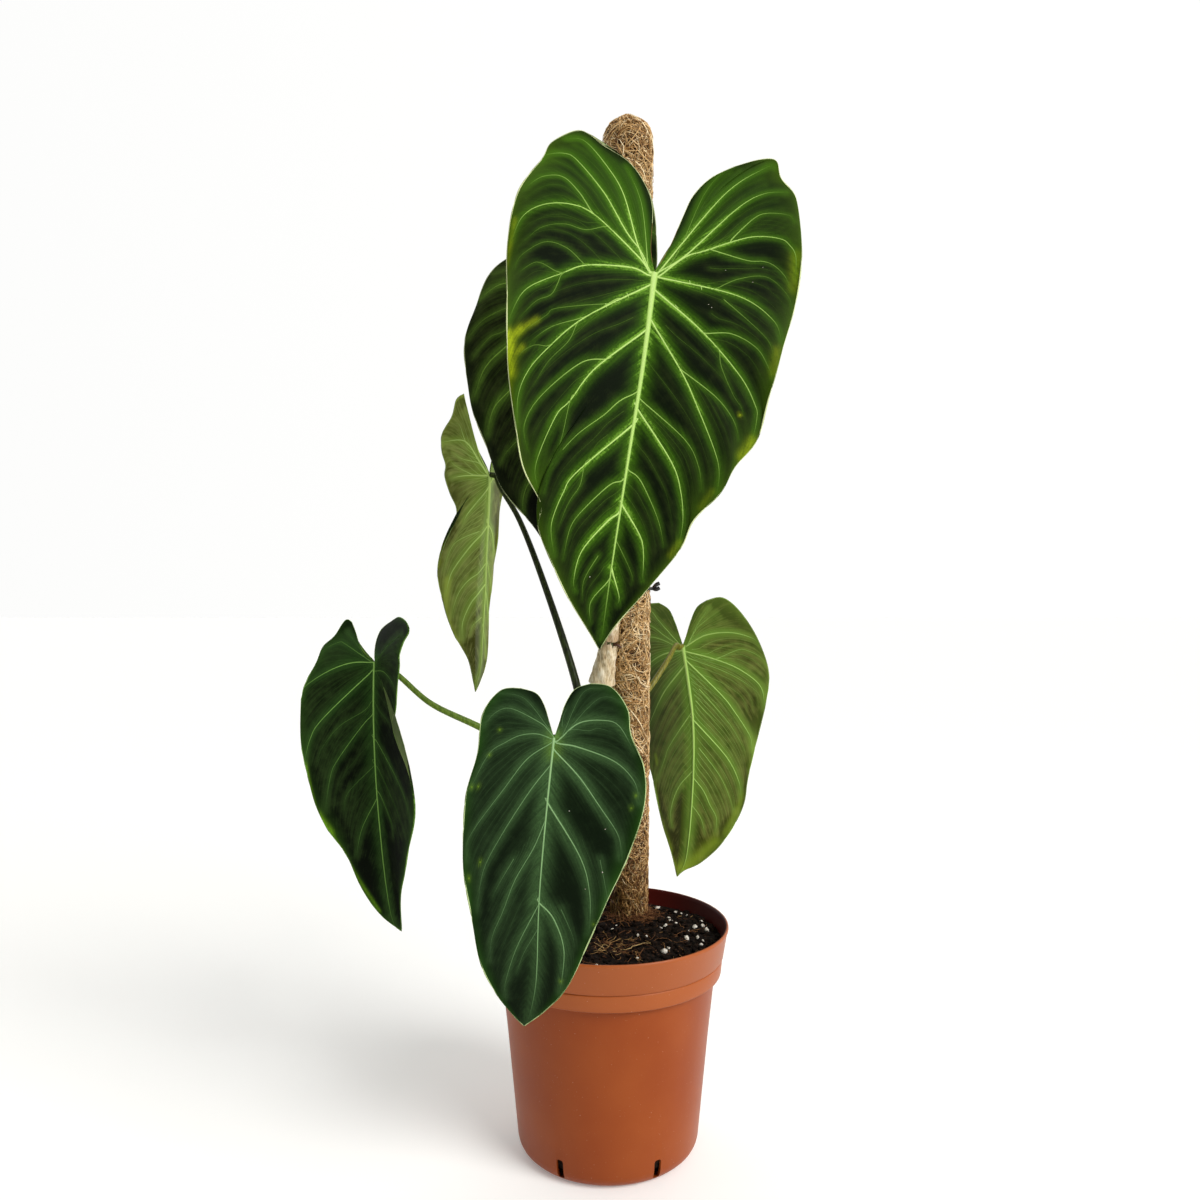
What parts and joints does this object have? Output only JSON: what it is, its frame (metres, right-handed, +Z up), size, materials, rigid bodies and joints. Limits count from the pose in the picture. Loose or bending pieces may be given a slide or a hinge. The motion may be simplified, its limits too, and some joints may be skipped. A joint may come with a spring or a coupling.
{
  "type": "potted climbing philodendron",
  "caption": "Climbing velvet-leaf philodendron in a terracotta-coloured nursery pot, its stem tied to a leaning coir pole, with long hanging heart-shaped leaves.",
  "frame": {"origin": "middle of the pot's underside, on the surface that the pot stands on", "axes": "+Z up; +Y is the back, away from the side that the largest leaf faces; +X is to the right seen from the front"},
  "size_m": [0.3339, 0.2882, 0.6981],
  "materials": {
    "terracotta_plastic": "satin",
    "potting_soil": "matte",
    "stake_wood": "matte",
    "coir": "matte",
    "stem_green": "satin",
    "dry_sheath": "matte",
    "tie_wire": "satin",
    "leaf_velvet": "satin",
    "leaf_underside": "satin"
  },
  "bodies": {
    "root": {"pot": "terracotta_plastic", "soil": "potting_soil", "pole_stake": "stake_wood", "pole_coir": "coir", "stem": "stem_green", "cataphyll_lower": "dry_sheath", "cataphyll_upper": "dry_sheath", "tie": "tie_wire", "leaf_1": "leaf_velvet", "leaf_2": "leaf_velvet", "leaf_3": "leaf_underside", "leaf_4": "leaf_velvet", "leaf_5": "leaf_velvet", "leaf_6": "leaf_underside"}
  },
  "joints": []
}
